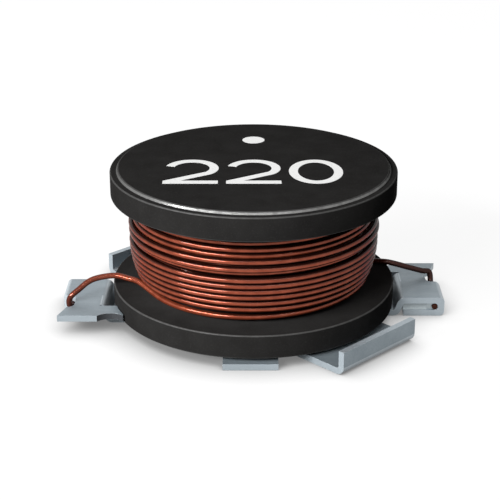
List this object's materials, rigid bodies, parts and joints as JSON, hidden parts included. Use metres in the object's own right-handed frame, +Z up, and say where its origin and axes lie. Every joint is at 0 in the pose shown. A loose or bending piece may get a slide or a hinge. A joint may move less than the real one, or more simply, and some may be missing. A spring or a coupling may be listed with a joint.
{
  "type": "inductor",
  "caption": "Surface-mount inductor: enamelled copper wire on a ferrite drum core, its leads held in the folded hooks of sheet terminals that solder flat to a board.",
  "frame": {"origin": "on the board plane, under the axis of the core", "axes": "+X along the line through the two solder feet, +Z up the axis of the core"},
  "size_m": [0.0186, 0.015, 0.0074],
  "materials": {
    "ferrite": "sintered ferrite, dark grey, satin",
    "enamelled_copper": "copper under clear red-brown enamel, glossy",
    "tinned_sheet": "matte tin plate on copper alloy",
    "solder": "solder, satin",
    "adhesive": "cured epoxy, dull"
  },
  "bodies": {
    "root": {"drum_core": "ferrite", "winding": "enamelled_copper", "terminal_right": "tinned_sheet", "terminal_left": "tinned_sheet", "solder_right": "solder", "solder_left": "solder", "adhesive_right": "adhesive", "adhesive_left": "adhesive"}
  },
  "joints": []
}
